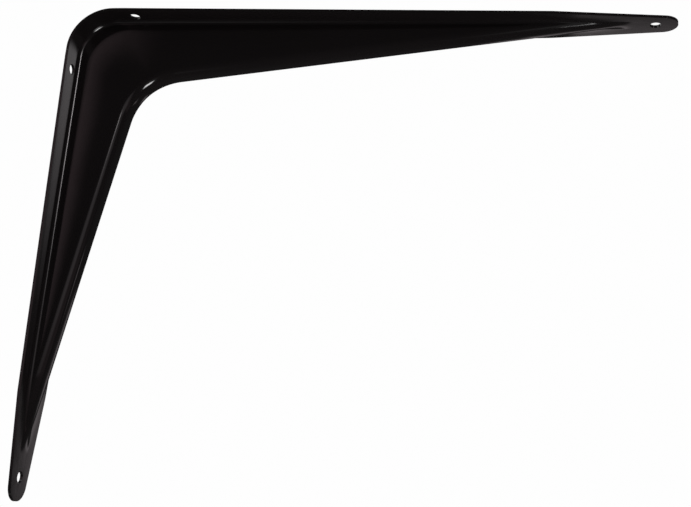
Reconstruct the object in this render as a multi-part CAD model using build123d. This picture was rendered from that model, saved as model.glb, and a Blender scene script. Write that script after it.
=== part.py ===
from build123d import *
import os
from math import acos, atan2, cos, sin

# Pressed-steel shelf bracket: one sheet with two flanges at a right angle and a deep hollow rib.
# Millimetres, +Z up. The wall lies behind x = 0, and the bracket is symmetric about y = 0.
# It is drawn from its corner, where the wall plane (x = 0) and the shelf plane (z = 0) cross.
# At the end it is moved so that the origin is midway between the two upper wall screws.

# ---- driving dimensions ----
shelf_arm = 254.0           # wall plane to the end of the shelf arm
wall_arm = 203.0            # shelf plane to the end of the wall arm
sheet = 1.2                 # thickness of the steel
bend_radius = 18.0          # outer radius of the right-angle bend

flange_width = 34.2         # across both flanges at the bend
knee_width = 21.8           # across an arm where it starts to narrow faster
outline_blend = 40.0        # radius where the outline's straight edges meet
straight_past_bend = 4.0    # length of full width beyond the bend
tip_radius = 6.25           # round end of each arm
shelf_knee_to_tip = 51.0    # from the knee of the outline to the end of the shelf arm
wall_knee_to_tip = 41.0     # the same on the wall arm

rib_reach = 27.5            # from the wall and shelf planes to the point where the two crests would meet
rib_to_tip = 22.0           # flat length left between the rib's fading end and the end of each arm
rib_width = 14.5            # outside width of the rib at the corner of the two planes
rib_draft = 0.8             # lean of the rib's sides along the press stroke, degrees
inner_radius = 21.0         # round of the crest at the inner corner
crest_round = 4.2           # outside radius along the crest's edges
root_radius = 3.0           # radius between the flanges and the rib's sides, on the room side

edge_round = 0.25           # softened edge of the sheared outline
same_length = 0.001         # lengths nearer than this count as equal

hole_diameter = 4.5
tip_hole_to_end = 9.1       # from the end of an arm to the centre of its tip hole
pair_to_corner = 25.8       # from the corner to the screw pair on each arm
pair_spacing = 22.6         # between the two screws of a pair

# ---- dimensions that follow ----
overrun = 4 * sheet         # how far a cutting form runs past the sheet
far_out = 2 * (shelf_arm + wall_arm)        # well past every point of the bracket
wall_plane = Plane(origin=(0, 0, 0), x_dir=(0, 0, -1), z_dir=(1, 0, 0))     # its X runs down the wall arm
shelf_crest_slope = (rib_reach - sheet) / (shelf_arm - rib_to_tip - rib_reach)
wall_crest_slope = (rib_reach - sheet) / (wall_arm - rib_to_tip - rib_reach)


def arm_outline(length, knee_to_tip):
    """Outline of one flange laid along +X: straight at the bend, then two tapers and a round end."""
    shoulder = (bend_radius + straight_past_bend, flange_width / 2)
    knee = (length - knee_to_tip, knee_width / 2)
    tip_centre = Vector(length - tip_radius, 0)
    to_knee = Vector(*knee) - tip_centre
    touch_angle = atan2(to_knee.Y, to_knee.X) - acos(tip_radius / to_knee.length)
    touch = tip_centre + Vector(cos(touch_angle), sin(touch_angle)) * tip_radius
    with BuildSketch() as outline:
        with BuildLine():
            Polyline((0, 0), (0, flange_width / 2), shoulder, knee, touch)
            TangentArc(touch, (length, 0), tangent=touch - Vector(*knee))
            mirror(about=Plane.XZ)
        make_face()
        fillet([corner for corner in outline.vertices() if bend_radius < corner.X < knee[0] + sheet],
               outline_blend)
    return outline.sketch


def bent_face(skin, reach_x, reach_z):
    """Polyline of the sheet's surface in side view, `skin` in from the wall and shelf planes."""
    return FilletPolyline((reach_x, -skin), (skin, -skin), (skin, -reach_z), radius=bend_radius - skin)


def flanges():
    """Both flanges and the bend between them, cut to their outlines."""
    with BuildPart() as strip:
        with BuildSketch(Plane.XZ):
            with BuildLine():
                back = bent_face(0, shelf_arm, wall_arm)
                front = bent_face(sheet, shelf_arm, wall_arm)
                Line(back @ 0, front @ 0)
                Line(back @ 1, front @ 1)
            make_face()
        extrude(amount=flange_width, both=True)
    shelf_cutter = extrude(arm_outline(shelf_arm, shelf_knee_to_tip), -bend_radius)
    wall_cutter = extrude(wall_plane * arm_outline(wall_arm, wall_knee_to_tip), bend_radius)
    blank = strip.part & (shelf_cutter + wall_cutter)
    rim = [edge for edge in blank.edges().filter_by(Axis.Y, reverse=True)
           if abs(edge.length - sheet) > same_length]
    return blank.fillet(edge_round, rim)


def rib_form():
    """Solid that fills the rib: its room-side skin, run on behind the wall and shelf planes."""
    with BuildPart() as form:
        with BuildSketch(Plane.XZ):
            with BuildLine():
                wall_end = -(wall_arm - rib_to_tip) - (sheet + overrun) / wall_crest_slope
                shelf_end = shelf_arm - rib_to_tip + (sheet + overrun) / shelf_crest_slope
                FilletPolyline((-overrun, wall_end), (rib_reach, -rib_reach), (shelf_end, overrun),
                               radius=inner_radius)
                Polyline((shelf_end, overrun), (-overrun, overrun), (-overrun, wall_end))
            make_face()
        extrude(amount=rib_width, both=True)
    press_plane = Plane(origin=(0, 0, 0), x_dir=(1, 0, 1), z_dir=(1, 0, -1))
    wedge = extrude(press_plane * Rectangle(far_out, rib_width), shelf_arm, taper=rib_draft)
    back_wedge = extrude(press_plane * Rectangle(far_out, rib_width), -2 * overrun, taper=-rib_draft)
    return form.part & (wedge + back_wedge)


def room_side():
    """Everything on the room side of the middle of the sheet's thickness."""
    with BuildPart() as room:
        with BuildSketch(Plane.XZ):
            with BuildLine():
                middle = bent_face(sheet / 2, far_out, far_out)
                Polyline(middle @ 0, (far_out, -far_out), middle @ 1)
            make_face()
        extrude(amount=flange_width, both=True)
    return room.part


def press_rib(blank):
    """Press the rib into the bent blank: add its skin on the room side and hollow it from behind."""
    form = rib_form()
    crest_edges = [edge for edge in form.edges().filter_by(Axis.Y, reverse=True)
                   if edge.center().X > 0 and edge.center().Z < 0]
    form = form.fillet(crest_round, crest_edges)
    skin = form & room_side()
    solid_rib = blank + skin
    solid_rib = solid_rib.fillet(root_radius, new_edges(blank, skin, combined=solid_rib))
    hollow = offset(form, -sheet)
    pressed = solid_rib - hollow
    return pressed.fillet(root_radius + sheet, new_edges(solid_rib, hollow, combined=pressed))


def screw_holes():
    """Punches for the six screw holes: one near each tip and a pair beside the rib on each arm."""
    pair = [(pair_to_corner, side * pair_spacing / 2) for side in (-1, 1)]
    shelf_places = Locations((shelf_arm - tip_hole_to_end, 0), *pair)
    wall_places = Locations((wall_arm - tip_hole_to_end, 0), *pair)
    with BuildPart() as punches:
        with BuildSketch(Plane.XY):
            with shelf_places:
                Circle(hole_diameter / 2)
        extrude(amount=overrun, both=True)
        with BuildSketch(wall_plane):
            with wall_places:
                Circle(hole_diameter / 2)
        extrude(amount=overrun, both=True)
    return punches.part


bracket = press_rib(flanges()) - screw_holes()
bracket = Pos(0, 0, pair_to_corner) * bracket
os.makedirs("parts", exist_ok=True)
export_step(bracket, "parts/shelf_bracket.step")
print("shelf_bracket", round(bracket.volume), "mm3,", len(bracket.faces()), "faces")
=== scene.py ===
# %% [markdown]
# # A pressed steel shelf bracket in black gloss paint
#
# The real bracket is one strip of thin steel. A press draws a hollow rib into
# the middle of the flat strip and bends the strip to a right angle, so the rib
# runs round the inside of the corner and dies away before each tip. What stays
# flat on both sides of the rib is the flange that lies on the wall and under
# the shelf. Six screw holes are punched, and the part is dipped in black paint.
#
# This lesson makes it the same way: a flat blank, a press that forms it, the
# thickness of the sheet, a set of punches, softened edges and a coat of paint.
# The solid model is loaded first, as the frame that everything is made in.

# %% Load the solid model and keep its box
from math import asin, atan, atan2, cos, pi, radians, sin, sqrt, tan
import bmesh
import bpy
from mathutils import Matrix, Vector


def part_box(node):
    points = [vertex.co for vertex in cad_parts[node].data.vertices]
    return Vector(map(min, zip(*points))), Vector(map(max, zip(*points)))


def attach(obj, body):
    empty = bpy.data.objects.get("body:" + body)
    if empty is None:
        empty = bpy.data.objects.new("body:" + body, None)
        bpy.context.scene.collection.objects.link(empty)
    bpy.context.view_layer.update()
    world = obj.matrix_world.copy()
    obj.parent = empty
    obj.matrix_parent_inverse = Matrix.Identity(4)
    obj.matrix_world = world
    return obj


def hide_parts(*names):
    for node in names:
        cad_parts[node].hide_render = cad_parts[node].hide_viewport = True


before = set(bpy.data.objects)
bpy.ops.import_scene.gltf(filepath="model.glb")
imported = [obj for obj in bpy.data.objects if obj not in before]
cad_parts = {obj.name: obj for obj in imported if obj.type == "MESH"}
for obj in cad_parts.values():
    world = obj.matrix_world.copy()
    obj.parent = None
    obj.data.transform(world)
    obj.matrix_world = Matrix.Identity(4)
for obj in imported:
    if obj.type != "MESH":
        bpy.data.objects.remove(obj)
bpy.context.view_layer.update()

scene = bpy.context.scene
mm = 0.001

# %% [markdown]
# ## The sizes
#
# Blender works in metres and a maker in millimetres, so every size here is
# written times mm. The lengths of the arms and the width of the flanges are
# read off the solid model, so this part can't drift away from it. The rest are
# the sizes a toolmaker would be given: the sheet, its bends, the rib, the holes.

# %% Sizes of the bracket
low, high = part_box("shelf_bracket")
shelf_arm, wall_arm, flange_width = high.x - low.x, high.z - low.z, high.y - low.y
corner_height = high.z                    # from the upper wall screws to the outer corner
sheet = 1.2 * mm
bend_radius, inner_radius = 18 * mm, 23.2 * mm
knee_width, tip_radius = 21.8 * mm, 6.25 * mm
shelf_knee_to_tip, wall_knee_to_tip = 51 * mm, 41 * mm
straight_past_bend = 4 * mm
rib_reach, rib_to_tip, rib_width = 27.5 * mm, 22 * mm, 14.1 * mm
crest_round, root_round = 3.4 * mm, 1.5 * mm
nose_side, nose_flat, nose_taper = 3 * mm, 0.4 * mm, 30 * mm
crown = radians(2.6)                      # the crest isn't quite flat: its sides lean this much
narrowing = tan(radians(1.0))             # the rib grows narrower towards the tips
draft = tan(radians(2.0))                 # the rib's walls lean out, to let go of the die
bulge = 0.035                             # and swell by a quarter of this share of their height
lift, lift_width = 0.07 * mm, 3 * mm      # the flange is drawn up a little beside the rib
edge_round = 0.25 * mm
hole_diameter, tip_hole_to_end, pair_spacing = 4.5 * mm, 9.1 * mm, 22.6 * mm
print(f"arms {shelf_arm / mm:.1f} and {wall_arm / mm:.1f} mm,",
      f"flanges {flange_width / mm:.1f} mm wide")

# %% [markdown]
# ## Sums that build nodes
#
# Geometry Nodes and shaders both do their sums in Math nodes. Placing almost
# three hundred of them by hand is slow and hard to read. A small class wraps a
# socket, and its operators add the Math node each of them needs. A second one
# holds the tree and makes every other kind of node: its settings are set first,
# then its sockets get their values or links.

# %% A socket that does sums
class Wire:
    """A socket in a node tree. A sum on wires adds its Math nodes."""
    def __init__(self, bench, socket):
        self.bench, self.socket = bench, socket

    def __add__(self, other): return self.bench.math("ADD", self, other)
    def __radd__(self, other): return self.bench.math("ADD", other, self)
    def __sub__(self, other): return self.bench.math("SUBTRACT", self, other)
    def __rsub__(self, other): return self.bench.math("SUBTRACT", other, self)
    def __mul__(self, other): return self.bench.math("MULTIPLY", self, other)
    def __rmul__(self, other): return self.bench.math("MULTIPLY", other, self)
    def __truediv__(self, other): return self.bench.math("DIVIDE", self, other)
    def __rtruediv__(self, other): return self.bench.math("DIVIDE", other, self)
    def __gt__(self, other): return self.bench.math("GREATER_THAN", self, other)
    def __abs__(self): return self.bench.math("ABSOLUTE", self)
    def do(self, operation): return self.bench.math(operation, self)
    def at_least(self, other): return self.bench.math("MAXIMUM", self, other)
    def at_most(self, other): return self.bench.math("MINIMUM", self, other)
    def between(self, least, most): return self.at_least(least).at_most(most)

# %% A bench that makes nodes
class Bench:
    """A node tree being built."""
    def __init__(self, tree):
        self.tree = tree

    def node(self, kind, settings=None, sockets=None, out=0):
        made = self.tree.nodes.new(kind)
        for name, value in (settings or {}).items():
            setattr(made, name, value)
        for name, value in (sockets or {}).items():
            if isinstance(value, Wire):
                self.tree.links.new(value.socket, made.inputs[name])
            else:
                made.inputs[name].default_value = value
        return Wire(self, made.outputs[out]) if made.outputs else None

    def math(self, operation, *values):
        return self.node("ShaderNodeMath", {"operation": operation}, dict(enumerate(values)))

    def split(self, vector):
        made = self.node("ShaderNodeSeparateXYZ", sockets={0: vector}).socket.node
        return [Wire(self, socket) for socket in made.outputs]

# %% [markdown]
# ## The blank
#
# The blank is the flat sheet before the press. Its first coordinate runs along
# the sheet, from the wall tip (negative) over the middle of the corner (zero)
# to the shelf tip. Its second one counts columns across: the flat of the crest,
# the crest's round, the rib's wall, the root's round and the flange are the
# stretches 0-1, 1-2, 2-3, 3-4 and 4-5, the same on both sides. So each fold of
# the finished part has its own columns, and no face ever straddles a fold.
#
# Stations stand close where the sheet curves and far apart on straight runs.

# %% Where the straight lines of the rib and the outline meet their curves
inner_bend = bend_radius - sheet          # the bend of the side that faces the room
half_bend = inner_bend * pi / 4

def crest_slope(length):
    return (rib_reach - sheet) / (length - rib_to_tip - rib_reach)

def arc_centre(own, other):
    """How far along an arm the centre of the inner corner's arc stands."""
    reach = [rib_reach * (1 + k) + inner_radius * sqrt(1 + k * k) for k in (own, other)]
    return (reach[1] - other * reach[0]) / (1 - own * other)

def arm_sizes(length, knee_to_tip, other_length):
    slope, other = crest_slope(length), crest_slope(other_length)
    to_circle, half_knee = knee_to_tip - tip_radius, knee_width / 2
    tip_angle = (atan2(half_knee, to_circle)
                 - asin(tip_radius / sqrt(to_circle ** 2 + half_knee ** 2)))
    knee, touch = length - knee_to_tip, length - tip_radius * (1 - sin(tip_angle))
    first_taper = (flange_width - knee_width) / 2 / (knee - bend_radius - straight_past_bend)
    centre, centre_height = arc_centre(slope, other), arc_centre(other, slope)
    return {"length": length, "crest slope": slope, "crest tilt": atan(slope),
            "arc centre along": centre, "arc centre height": centre_height,
            "arc end": centre - inner_radius * sin(atan(slope)),
            "knee": knee, "tip touch": touch,
            "first taper": first_taper, "tip taper": tan(tip_angle)}

arms = {"shelf": arm_sizes(shelf_arm, shelf_knee_to_tip, wall_arm),
        "wall": arm_sizes(wall_arm, wall_knee_to_tip, shelf_arm)}
for arm, sizes in arms.items():
    print(f"{arm} crest climbs 1 in {1 / sizes['crest slope']:.1f},",
          f"its arc ends {sizes['arc end'] / mm:.1f} mm out")

# %% The blank's columns and stations
run_out = 4 * mm                          # half the length over which a crest fades away
low_rib = 62 * mm                         # this far from its nose, the rib is low and soft
column = 3 * mm                           # between columns of whole numbers in the flat mesh
faces_across = (2, 10, 5, 8, 7)           # crest, its round, wall, root's round, flange
tip_steps, bend_steps = 16, 10            # faces along a tip's round, and along half the bend

def columns():
    half = [0.0]
    for stretch, faces in enumerate(faces_across):
        half += [stretch + (i + 1) / faces for i in range(faces)]
    return [-c for c in reversed(half[1:])] + half

def stations(sizes):
    """Places along one arm, from its tip to the middle of the corner."""
    length, nose = sizes["length"], sizes["length"] - rib_to_tip
    start = asin(1 - (length - sizes["tip touch"]) / tip_radius)
    places = [length - tip_radius + tip_radius * sin(pi / 2 - (pi / 2 - start) * i / tip_steps)
              for i in range(tip_steps + 1)]
    runs = [                              # where each run of stations stops, and its step
        (nose + run_out, 1.5 * mm), (nose - run_out, 0.8 * mm), (sizes["knee"], 1.2 * mm),
        (nose - low_rib, 1.2 * mm), (sizes["arc end"], 5 * mm),
        (bend_radius + straight_past_bend, 1.6 * mm), (bend_radius, 1.4 * mm)]
    for stop, step in runs:
        begin, count = places[-1], max(1, round((places[-1] - stop) / step))
        places += [begin + (stop - begin) * (i + 1) / count for i in range(count)]
    leg = [place - bend_radius + half_bend for place in places]
    return leg + [half_bend * (bend_steps - 1 - i) / bend_steps for i in range(bend_steps)]

wall_side, shelf_side = stations(arms["wall"]), stations(arms["shelf"])
along = [-place for place in wall_side] + shelf_side[-2::-1]
across = columns()
print(len(along), "stations along the sheet,", len(across), "columns across it")

# %% The flat mesh
def flat_blank(name):
    rows = len(across)
    corners = [(place, c * column, 0) for place in along for c in across]
    faces = [(i * rows + j, i * rows + j + 1, (i + 1) * rows + j + 1, (i + 1) * rows + j)
             for i in range(len(along) - 1) for j in range(rows - 1)]
    mesh = bpy.data.meshes.new(name)
    mesh.from_pydata(corners, [], faces)
    mesh.shade_smooth()
    piece = bpy.data.objects.new(name, mesh)
    scene.collection.objects.link(piece)
    return piece

bracket = flat_blank("pressed_bracket")
print("blank faces:", len(bracket.data.polygons))

# %% [markdown]
# ## The press
#
# The press is a Geometry Nodes tree that moves every point of the blank to its
# place on the finished sheet. A drawn rib follows a rule, so it is written as
# one: at each station there is a point on the flange's line and a point on the
# crest's line, and the section between them is a flat, an arc, a wall and a
# second arc. All sizes are named inputs of the tree, so a longer bracket or a
# deeper rib needs new numbers and no new points.
#
# Both arms use the same rule. A switch picks the shelf arm's or the wall arm's
# number, and at the end it swaps the two axes.

# %% Start a tree with named inputs
def start_tree(name, sizes):
    tree = bpy.data.node_groups.new(name, "GeometryNodeTree")
    tree.interface.new_socket("Geometry", in_out="INPUT", socket_type="NodeSocketGeometry")
    tree.interface.new_socket("Geometry", in_out="OUTPUT", socket_type="NodeSocketGeometry")
    for label in sizes:
        tree.interface.new_socket(label, in_out="INPUT", socket_type="NodeSocketFloat")
    bench = Bench(tree)
    given = bench.node("NodeGroupInput").socket.node
    return bench, {socket.name: Wire(bench, socket) for socket in given.outputs if socket.name}

def finish_tree(bench, geometry, material):
    """Every tree ends in real geometry with its paint on."""
    real = bench.node("GeometryNodeRealizeInstances", sockets={"Geometry": geometry})
    painted = bench.node("GeometryNodeSetMaterial",
                         sockets={"Geometry": real, "Material": material})
    bench.node("NodeGroupOutput", sockets={0: painted})

def run_tree(piece, tree, sizes):
    modifier = piece.modifiers.new(tree.name, "NODES")
    modifier.node_group = tree
    for item in tree.interface.items_tree:
        if item.name in sizes:
            modifier[item.identifier] = sizes[item.name]
    print(f"{tree.name}: {len(tree.nodes)} nodes, {len(sizes)} named sizes")

# %% [markdown]
# ### The flange's line and the crest's line
#
# Seen from the side, the flange runs straight along an arm and round the bend
# at the corner. The crest runs straight too, closer and closer to the flange,
# and round a wider arc at the inner corner. Near the tip the crest doesn't stop
# at a crease: a sheet can't be drawn that sharply, so it runs out in a short
# curve. Each station on one line has a partner on the other.

# %% The two lines of the side view
def flange_line(size, t):
    """Point and facing of the flange, t along the sheet from the middle of the corner,
    and s, how far along its own arm that is from the other arm's plane."""
    turn = ((half_bend - t) / size["inner bend"]).between(0, pi / 4)
    facing = turn.do("SINE"), turn.do("COSINE")
    leg = (t - half_bend).at_least(0)
    point = (leg + size["bend radius"] - facing[0] * size["inner bend"],
             size["bend radius"] - facing[1] * size["inner bend"])
    return point, facing, leg + size["bend radius"]

def crest_line(size, arm, t, s):
    """Point and facing of the crest that belongs to the same station."""
    crest_end = arm["length"] - size["rib to tip"]
    arc_end = arm["arc end"] - (bend_radius - half_bend)
    turn = (1 - t / arc_end).at_least(0) * size["half turn"] + arm["crest tilt"]
    turn = turn.at_least(arm["crest tilt"])
    facing = turn.do("SINE"), turn.do("COSINE")
    left = crest_end - s.at_least(arm["arc end"])
    curve = (left + run_out).between(0, 2 * run_out)
    climb = arm["crest slope"] * (curve * curve / (4 * run_out) + (left - run_out).at_least(0))
    fall = climb - arm["crest slope"] * (crest_end - arm["arc end"])
    return (arm["arc centre along"] - facing[0] * size["inner radius"] + (t - arc_end).at_least(0),
            arm["arc centre height"] - facing[1] * size["inner radius"] + fall), facing

# %% [markdown]
# ### The section across the rib
#
# Between the two lines stands the section. Its wall leans out by the draft, so
# the part lets go of the die. The root's and the crest's arcs touch the wall and
# the flats. Where the rib gets too low for both arcs, they meet and the wall is
# gone; lower still, both arcs open out, so the nose of the rib ends as a long
# soft swelling and not as a fold.
#
# Drawn steel is never quite flat, and gloss paint shows it. So the crest is
# crowned by a few degrees, the walls swell a little halfway up, and the flange
# is drawn up by a hair beside the rib. Those three small sizes decide how wide
# each highlight is and how it fades.

# %% The rib's height, and half its crest
speck = 1e-6                              # keeps the way up known where the rib has no height

def rib_height(flange, crest):
    """The way up from the flange's point to the crest's point, and how far it is."""
    (flange_s, flange_h), (face_s, face_h) = flange
    (crest_s, crest_h), _ = crest
    rise_s, rise_h = crest_s - flange_s + face_s * speck, crest_h - flange_h + face_h * speck
    rise = (rise_s * rise_s + rise_h * rise_h).do("SQRT")
    up_s, up_h = rise_s / rise, rise_h / rise
    height = ((crest_s - flange_s) * up_s + (crest_h - flange_h) * up_h).at_least(0)
    return (up_s, up_h), height

def half_crest(size, taper, crest_place, height, to_nose):
    """Half the width of the crest between its two arcs."""
    half_rib = (size["rib width"] / 2 - (crest_place[0] + crest_place[1]) * taper
                - height * size["draft"])
    fading = (to_nose / size["nose taper"]).between(0, 1)
    return ((half_rib - size["crest round"]) * fading).at_least(size["nose flat"])

# %% The section
least_turn = 0.001                        # keeps the two arcs from vanishing with the rib

def section(size, column_number, flange, crest, to_nose):
    """The way up, the rib's height, and a column's place: how far it stands above the
    flange, how far out from the middle, and what share of the way across the flange."""
    flat, crest_arc, wall, root_arc, brim = [(column_number - i).between(0, 1) for i in range(5)]
    (_, (face_s, face_h)), (crest_place, (top_s, top_h)) = flange, crest
    (up_s, up_h), height = rib_height(flange, crest)

    root = size["root round"] / (up_s * face_s + up_h * face_h)
    top = size["crest round"] / (up_s * top_s + up_h * top_h)
    full_turn = (1 - height / (root + top)).at_least(0).do("ARCCOSINE")
    low_turn = (height / size["nose side"]).do("ARCTANGENT") * 2
    turn = full_turn.at_most(low_turn).at_least(least_turn)
    both_rounds = size["root round"] + size["crest round"]
    open_out = (size["nose side"] / both_rounds / turn.do("SINE")).at_least(1)
    wall_drop = height - open_out * (root + top) * (1 - turn.do("COSINE"))

    crown = (turn / 2).at_most(size["crown"])
    crest_turn = flat * crown + crest_arc * (turn - crown)
    root_turn = (1 - root_arc) * turn
    taper = size["narrowing"] / sqrt(2)
    half_flat = half_crest(size, taper, crest_place, height, to_nose)
    above = (height - open_out * top * (1 - crest_turn.do("COSINE")) - wall_drop * wall
             - open_out * root * (root_turn.do("COSINE") - turn.do("COSINE")))
    above = above + crown * half_flat / 2 * (1 - flat * flat)
    lean = (up_s + up_h) * taper + size["draft"]
    outward = (half_flat * flat + open_out * size["crest round"] * crest_turn.do("SINE")
               + open_out * size["root round"] * (turn.do("SINE") - root_turn.do("SINE"))
               + (height - above) * lean + wall_drop * size["bulge"] * wall * (1 - wall))
    return (up_s, up_h), height, above, outward, brim

# %% [markdown]
# ### The outline
#
# The strip is widest at the corner, narrows evenly to a knee, and then faster
# to a round tip. The tip is part of a true circle that the straight edges
# touch, because a punch cut it.

# %% The strip's half width
def half_width(size, arm, s):
    """Half the width of the strip, at s from the other arm's plane."""
    start = size["bend radius"] + size["straight past bend"]
    knee, touch = arm["knee"], arm["tip touch"]
    past_centre = s - (arm["length"] - size["tip radius"])
    tip = (size["tip radius"] * size["tip radius"] - past_centre * past_centre).at_least(0)
    straight = (size["flange width"] / 2
                - arm["first taper"] * (s - start).between(0, knee - start)
                - arm["tip taper"] * (s - knee).between(0, touch - knee))
    on_tip = s > touch
    return straight + on_tip * (tip.do("SQRT") - straight)

# %% Where the press puts a point
def this_arm(size, on_shelf):
    """The sizes of the arm that a point belongs to."""
    picked = {}
    for key in arms["wall"]:
        on_wall = size["wall " + key]
        picked[key] = on_wall + on_shelf * (size["shelf " + key] - on_wall)
    return picked

def pressed_place(size, place, row):
    """The place on the finished sheet of a point of the blank."""
    on_shelf, t = place > 0, abs(place)
    column_number, side = abs(row / column), row.do("SIGN")
    arm = this_arm(size, on_shelf)

    point, facing, s = flange_line(size, t)
    nose_end = arm["length"] - size["rib to tip"] + run_out
    (up_s, up_h), height, above, outward, brim = section(
        size, column_number, (point, facing), crest_line(size, arm, t, s), nose_end - s)
    width = half_width(size, arm, s)
    outward = outward * (width / half_width(size, arm, nose_end)).at_most(1)
    beside = brim * brim * (width - outward)
    near = 1 - (beside / size["lift width"]).between(0, 1)
    above = above + size["lift"] * near * near * (height / size["root round"]).at_most(1)
    along_s, height_h = point[0] + up_s * above, point[1] + up_h * above

    x = height_h + on_shelf * (along_s - height_h)
    z = size["corner height"] - along_s - on_shelf * (height_h - along_s)
    return x, side * (outward + beside), z

# %% Build the press
same_point = 0.02 * mm                    # points nearer than this become one

def press_tree(sizes, material):
    bench, size = start_tree("press", sizes)
    blank = Wire(bench, bench.tree.nodes["Group Input"].outputs[0])
    place, row, _ = bench.split(bench.node("GeometryNodeInputPosition"))
    formed = bench.node("ShaderNodeCombineXYZ",
                        sockets=dict(enumerate(pressed_place(size, place, row))))
    moved = bench.node("GeometryNodeSetPosition",
                       sockets={"Geometry": blank, "Position": formed})
    closed = bench.node("GeometryNodeMergeByDistance",
                        sockets={"Geometry": moved, "Distance": same_point})
    smooth = bench.node("GeometryNodeSetShadeSmooth",
                        sockets={"Geometry": closed, "Shade Smooth": True})
    finish_tree(bench, smooth, material)
    return bench.tree

# %% Press the blank
paint = bpy.data.materials.new("black_gloss_paint")
paint.use_nodes = True
press_sizes = {
    "bend radius": bend_radius, "inner bend": inner_bend, "inner radius": inner_radius,
    "flange width": flange_width, "straight past bend": straight_past_bend,
    "tip radius": tip_radius, "corner height": corner_height,
    "rib to tip": rib_to_tip, "rib width": rib_width, "narrowing": narrowing, "draft": draft,
    "bulge": bulge, "lift": lift, "lift width": lift_width,
    "crest round": crest_round, "crown": crown, "root round": root_round,
    "nose side": nose_side, "nose flat": nose_flat, "nose taper": nose_taper,
    "half turn": (pi / 2 - arms["wall"]["crest tilt"] - arms["shelf"]["crest tilt"]) / 2}
for arm, sizes in arms.items():
    press_sizes |= {f"{arm} {key}": value for key, value in sizes.items()}
run_tree(bracket, press_tree(press_sizes, paint), press_sizes)

# %% [markdown]
# ## Thickness, holes and soft edges
#
# A drawn sheet has the same thickness everywhere, so Solidify gives it one
# thickness behind the formed face, and the back of the rib stays hollow.
#
# Six punches go through it: two side by side near the corner on each arm, and
# one near each tip. The punches are one cylinder set on six points. They go in
# after the thickness, so their walls stand square to the flange.
#
# Last, every sharp edge is rounded by a quarter of a millimetre. A blanked edge
# isn't sharp under paint, and the thin line of light on it makes it look real.
# Points that all but coincide are welded before and after, so the mesh stays
# closed.

# %% Thickness
wall_of_sheet = bracket.modifiers.new("sheet thickness", "SOLIDIFY")
wall_of_sheet.thickness = sheet
wall_of_sheet.offset = -1
wall_of_sheet.use_even_offset = True
wall_of_sheet.use_quality_normals = True
print("sheet", round(wall_of_sheet.thickness / mm, 1), "mm")

# %% Where the punches go
def punch_places():
    """Six points in the sheet, where the screws go."""
    pair = [side * pair_spacing / 2 for side in (-1, 1)]
    in_wall, in_shelf = sheet / 2, corner_height - sheet / 2
    wall_tip = corner_height - wall_arm
    places = [(in_wall, y, 0) for y in pair] + [(in_wall, 0, wall_tip + tip_hole_to_end)]
    places += [(corner_height, y, in_shelf) for y in pair]
    places += [(shelf_arm - tip_hole_to_end, 0, in_shelf)]
    mesh = bpy.data.meshes.new("punch_places")
    mesh.from_pydata(places, [], [])
    print(len(places), "holes of", round(hole_diameter / mm, 1), "mm")
    return bpy.data.objects.new("punch_places", mesh)

places = punch_places()

# %% The punches
punch_sides, punch_length = 48, 8 * sheet

def punch_tree(sizes, places, material):
    bench, size = start_tree("punch", sizes)
    given = bench.tree.nodes["Group Input"]
    points = bench.node("GeometryNodeObjectInfo", sockets={"Object": places}, out="Geometry")
    tool = bench.node("GeometryNodeMeshCylinder", {"fill_type": "NGON"},
                      {"Vertices": punch_sides, "Radius": size["hole diameter"] / 2,
                       "Depth": size["punch length"]})
    x, _, _ = bench.split(bench.node("GeometryNodeInputPosition"))
    lay_down = (1 - (x > size["corner height"] / 2)) * (pi / 2)
    turned = bench.node("FunctionNodeEulerToRotation",
                        sockets={0: bench.node("ShaderNodeCombineXYZ", sockets={1: lay_down})})
    punches = bench.node("GeometryNodeInstanceOnPoints",
                         sockets={"Points": points, "Instance": tool, "Rotation": turned})
    real = bench.node("GeometryNodeRealizeInstances", sockets={"Geometry": punches})
    cut = bench.node("GeometryNodeMeshBoolean", {"operation": "DIFFERENCE", "solver": "MANIFOLD"},
                     {0: Wire(bench, given.outputs[0]), 1: real})
    finish_tree(bench, cut, material)
    return bench.tree

punch_sizes = {"hole diameter": hole_diameter, "punch length": punch_length,
               "corner height": corner_height}
run_tree(bracket, punch_tree(punch_sizes, places, paint), punch_sizes)

# %% Soft edges
weld_distance = 0.004 * mm
faces_per_edge = 3
sharp_from = radians(50)                  # an edge that turns by more than this is rounded

def weld(name):
    """Join points that all but coincide, so that no face is left without an area."""
    joined = bracket.modifiers.new(name, "WELD")
    joined.merge_threshold = weld_distance

weld("weld the punched edges")
soften = bracket.modifiers.new("soft edges", "BEVEL")
soften.width = edge_round
soften.segments = faces_per_edge
soften.limit_method = "ANGLE"
soften.angle_limit = sharp_from
soften.harden_normals = True
weld("weld the soft edges")
print("modifiers:", [modifier.name for modifier in bracket.modifiers])

# %% One plain mesh
def settle(piece):
    """Turn the piece into one plain mesh that keeps inside the solid model's box."""
    graph = bpy.context.evaluated_depsgraph_get()
    plain = bpy.data.meshes.new_from_object(piece.evaluated_get(graph))
    piece.modifiers.clear()
    piece.data = plain
    plain.name = piece.name
    for point in plain.vertices:
        point.co = [min(max(c, least), most) for c, least, most in zip(point.co, low, high)]
    triangles = sum(len(face.vertices) - 2 for face in plain.polygons)
    print(f"{piece.name}: {len(plain.polygons)} faces, {triangles} triangles")

settle(bracket)
bpy.data.objects.remove(places)

# %% [markdown]
# ## In the solid model's place
#
# The pressed piece takes the place of the whole solid bracket, which was there
# to build in and isn't shown. It wears one coat of paint, and it rides on the
# root, the only body, because nothing on this bracket moves.

# %% Put it in the solid model's place
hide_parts("shelf_bracket")
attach(bracket, "root")
print(bracket.name, "stands for the solid model")

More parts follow.
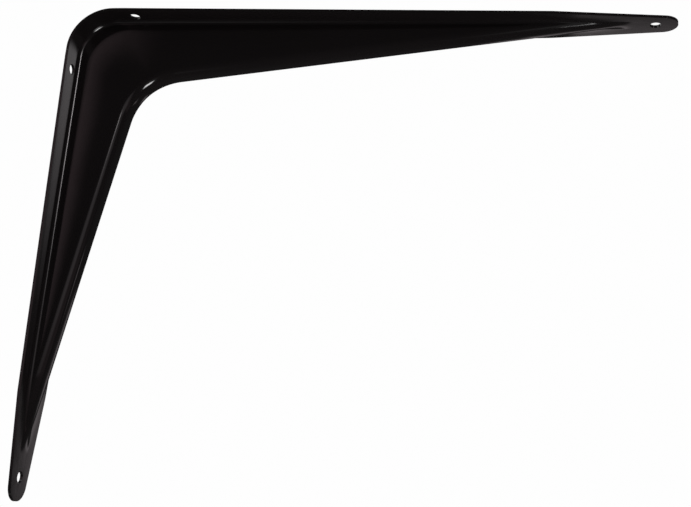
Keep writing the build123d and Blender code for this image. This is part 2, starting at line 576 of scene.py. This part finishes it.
# %% [markdown]
# ## The paint
#
# The real finish is a black gloss paint, dipped or sprayed and baked. It is
# never perfectly flat: it dries into a faint orange peel, and under it the
# pressed steel is wavy by a few hundredths of a millimetre. Both are far too
# small to model, so they are bumps in the paint; every visible form is mesh.
#
# The colour is a black with a trace of warmth in it. Almost all the light that
# comes back is a reflection, so the roughness matters more than the colour: it
# is low, and slow clouds change it a little from place to place.

# %% Black gloss paint
bench = Bench(paint.node_tree)
gloss = paint.node_tree.nodes["Principled BSDF"]
object_place = bench.node("ShaderNodeTexCoord", out="Object")

def noise(scale, detail=2.0):
    return bench.node("ShaderNodeTexNoise", {"noise_dimensions": "3D"},
                      {"Vector": object_place, "Scale": scale, "Detail": detail})

peel, waviness, cloud = noise(420), noise(45), noise(14, 3.0)    # waves to a metre
peel_depth, wave_depth = 0.004 * mm, 0.05 * mm
deep_black, light_black = (0.0058, 0.0047, 0.0049, 1), (0.0090, 0.0074, 0.0077, 1)
roughness, change, paint_ior = 0.09, 0.06, 1.5

height = (peel - 0.5) * peel_depth + (waviness - 0.5) * wave_depth
coat = {                                  # the mix takes its two colours at sockets 6 and 7
    "Normal": bench.node("ShaderNodeBump", {},
                         {"Strength": 1.0, "Distance": 1.0, "Height": height}),
    "Base Color": bench.node("ShaderNodeMix", {"data_type": "RGBA"},
                             {0: cloud, 6: deep_black, 7: light_black}, out=2),
    "Roughness": roughness + (cloud - 0.5) * change}
for name, wire in coat.items():
    bench.tree.links.new(wire.socket, gloss.inputs[name])
gloss.inputs["IOR"].default_value = paint_ior
print("paint nodes:", len(paint.node_tree.nodes))

# %% [markdown]
# ## Camera, light and floor
#
# The camera stands below the bracket, in front and to the right of the wall
# arm, and looks up at the inner corner. A small shift of the lens and a slight
# roll put the bracket where it belongs in the frame.
#
# Glossy black steel is drawn by what it reflects. Each light is a soft box: a
# rectangle that fades towards its sides, foot and top, like a lamp behind
# cloth. A tall bright key makes the thin lines along the root and the crest
# and the grey of the wall's flange. A lower one makes the bright spot on the
# crest at the inner corner. Small ones behind the bracket light the ends of
# both far flanges, and dim ones with a warm tint lie along the rib's sides. One
# below, the fill, isn't reflected: it only lifts the black a little. The last
# five stand above, to the left and behind, so that the bracket also reads from
# the other sides. A white backdrop shows the outline and the holes.

# %% Camera
camera = bpy.data.objects.new("camera", bpy.data.cameras.new("camera"))
scene.collection.objects.link(camera)
scene.camera = camera
camera.data.lens, camera.data.sensor_width = 54.747, 36
camera.data.shift_x, camera.data.shift_y = -0.0807, -0.0570
camera_place = Vector((0.20375, -0.39806, -0.18050))
to_left, tilt_up, roll = radians(8.4566), radians(16.895), radians(3.4968)
camera.matrix_world = (Matrix.Translation(camera_place) @ Matrix.Rotation(to_left, 4, "Z")
                       @ Matrix.Rotation(pi / 2 + tilt_up, 4, "X") @ Matrix.Rotation(roll, 4, "Z"))
print("camera", [round(c / mm) for c in camera_place])

# %% A soft box
middle = Vector((0.05, 0, -0.03))         # most lamps aim here, from this far away
lamp_distance = 2

def around(azimuth, elevation):
    """A lamp's place, in degrees from +X towards +Y and in degrees up."""
    a, e = radians(azimuth), radians(elevation)
    return middle + lamp_distance * Vector((cos(a) * cos(e), sin(a) * cos(e), sin(e)))

def soft_box(name, place, aim, size, brightness, fade, colour):
    """A rectangle of light that fades towards its sides, foot and top; brightness 1 is white."""
    lamp = bpy.data.lights.new(name, "AREA")
    lamp.shape, lamp.color = "RECTANGLE", colour
    lamp.size, lamp.size_y = size
    lamp.energy = brightness * pi * size[0] * size[1]
    lamp.use_nodes = True
    bench = Bench(lamp.node_tree)
    u, v, _ = bench.split(bench.node("ShaderNodeNewGeometry", out="Parametric"))
    glow = None
    for inward, soft in zip((0.5 - abs(u - 0.5), v, 1 - v), fade):
        edge = bench.node("ShaderNodeMapRange", {"interpolation_type": "SMOOTHSTEP"},
                          {"Value": inward, "From Max": soft})
        glow = edge if glow is None else glow * edge
    bench.tree.links.new(glow.socket, bench.tree.nodes["Emission"].inputs["Strength"])
    box = bpy.data.objects.new(name, lamp)
    scene.collection.objects.link(box)
    box.location = place
    box.rotation_euler = (Vector(aim) - box.location).to_track_quat("-Z", "Y").to_euler()
    box.visible_camera = False
    return box

# %% Lights
def across_from(x, y, z):
    """A place, and the point straight across from it in the bracket's middle plane."""
    return (x, y, z), (x, 0, z)

white, cream, blush, rose = (1, 1, 1), (1, 0.95, 0.965), (1, 0.90, 0.93), (1, 0.72, 0.78)
even = (0.25, 0.25, 0.25)                 # the same fade at the sides, the foot and the top
soft_boxes = [                            # name, place, aim, size, brightness, fade, colour
    ("key", around(-55.5, 15.5), middle, (0.38, 0.76), 16, (0.08, 1, 0.1), cream),
    ("key_side", around(-43, 17), middle, (0.5, 0.5), 3, (0.3, 0.5, 0.2), blush),
    ("key_glow", around(-50, 0), middle, (2.3, 0.9), 0.45, (0.4, 0.5, 0.3), blush),
    ("low_glow", around(-65, -44), middle, (0.7, 1.1), 0.2, (0.4, 0.3, 0.3), white),
    ("low_key", around(-31, -53), middle, (1.0, 0.8), 15, (0.4, 0.25, 0.2), white),
    ("behind_wall", *across_from(0.2235, 0.5, -0.125), (0.097, 0.13), 0.7,
     (0.45, 0.2, 0.2), blush),
    ("behind_shelf", *across_from(0.256, 0.25, -0.0925), (0.088, 0.065), 0.75,
     (0.12, 0.8, 0.2), blush),
    ("warm_wall", *across_from(-0.31, -0.5, -0.03), (0.31, 0.6), 0.36, (0.2, 0.27, 0.06), rose),
    ("warm_low", around(-20, -7), middle, (3.2, 0.7), 0.11, (0.2, 0.4, 0.4), rose),
    ("left_low", around(-138, -63), middle, (1.1, 0.7), 0.22, even, white),
    ("fill", (0.1, 0.3, -1.2), middle, (1, 1), 2.5, even, white),
    ("overhead", (0.05, 0, 2.2), middle, (2.6, 2.6), 2, even, white),
    ("left", around(180, 10), middle, (1.6, 1.6), 2, even, white),
    ("back_left", around(130, 15), middle, (1.2, 1.6), 2.2, even, white),
    ("back_right", around(50, 52), middle, (1.6, 1.0), 2, even, white),
    ("front_left", around(-145, 40), middle, (1.2, 1.2), 1.5, even, white)]
boxes = {row[0]: soft_box(*row) for row in soft_boxes}
boxes["fill"].visible_glossy = False
print(len(boxes), "soft boxes")

# %% Surrounding light
scene.view_settings.view_transform = "Standard"
world = bpy.data.worlds.new("studio")
scene.world = world
world.use_nodes = True
surround = world.node_tree.nodes["Background"]
surround.inputs["Color"].default_value = (1, 1, 1, 1)
surround.inputs["Strength"].default_value = 0.03
print("surrounding light:", round(surround.inputs["Strength"].default_value, 2))

# %% Backdrop
paper_white, dome_radius = 0.99, 6

def unlit(name):
    """A material as bright as its number, however it is lit, and the bench it stands on."""
    material = bpy.data.materials.new(name)
    material.use_nodes = True
    bench = Bench(material.node_tree)
    glow = bench.node("ShaderNodeEmission",
                      sockets={"Color": (1, 1, 1, 1), "Strength": paper_white})
    bench.tree.links.new(glow.socket, bench.tree.nodes["Material Output"].inputs["Surface"])
    return material, bench

def room_piece(name, shape, material, height=0):
    """A piece of the room that throws no light and no shadow on the bracket."""
    mesh = bpy.data.meshes.new(name)
    shape.to_mesh(mesh)
    shape.free()
    mesh.materials.append(material)
    piece = bpy.data.objects.new(name, mesh)
    scene.collection.objects.link(piece)
    piece.location.z = height
    piece.visible_diffuse = piece.visible_glossy = piece.visible_shadow = False
    print(f"{name}: {len(mesh.vertices)} corners, {height} m up")

dome = bmesh.new()
bmesh.ops.create_icosphere(dome, subdivisions=3, radius=dome_radius)
room_piece("backdrop", dome, unlit("white_paper")[0])

# %% [markdown]
# The floor is pale and round, well under the bracket. Its glow carries a painted
# shade: it is a little grey right under the bracket and fades out into the
# backdrop's white. It takes no part in the reflections: the soft boxes decide those.

# %% Floor
floor_height, floor_radius, floor_sides = -0.8, 5.9, 96
# the floor's glow right under the bracket is a painted shade, greyer than the white far out
painted_shade_under_bracket, grey_until, white_from = 0.86, 0.2, 2.5

pale, bench = unlit("pale_floor")
x, y, _ = bench.split(bench.node("ShaderNodeTexCoord", out="Object"))
# painted shade: the glow rises from grey under the bracket to the backdrop's white
fade = bench.node("ShaderNodeMapRange", {"interpolation_type": "SMOOTHSTEP"},
                  {"Value": (x * x + y * y).do("SQRT"), "From Min": grey_until,
                   "From Max": white_from, "To Min": painted_shade_under_bracket, "To Max": paper_white})
bench.tree.links.new(fade.socket, bench.tree.nodes["Emission"].inputs["Strength"])
disc = bmesh.new()
bmesh.ops.create_circle(disc, cap_ends=True, segments=floor_sides, radius=floor_radius)
room_piece("floor", disc, pale, floor_height)
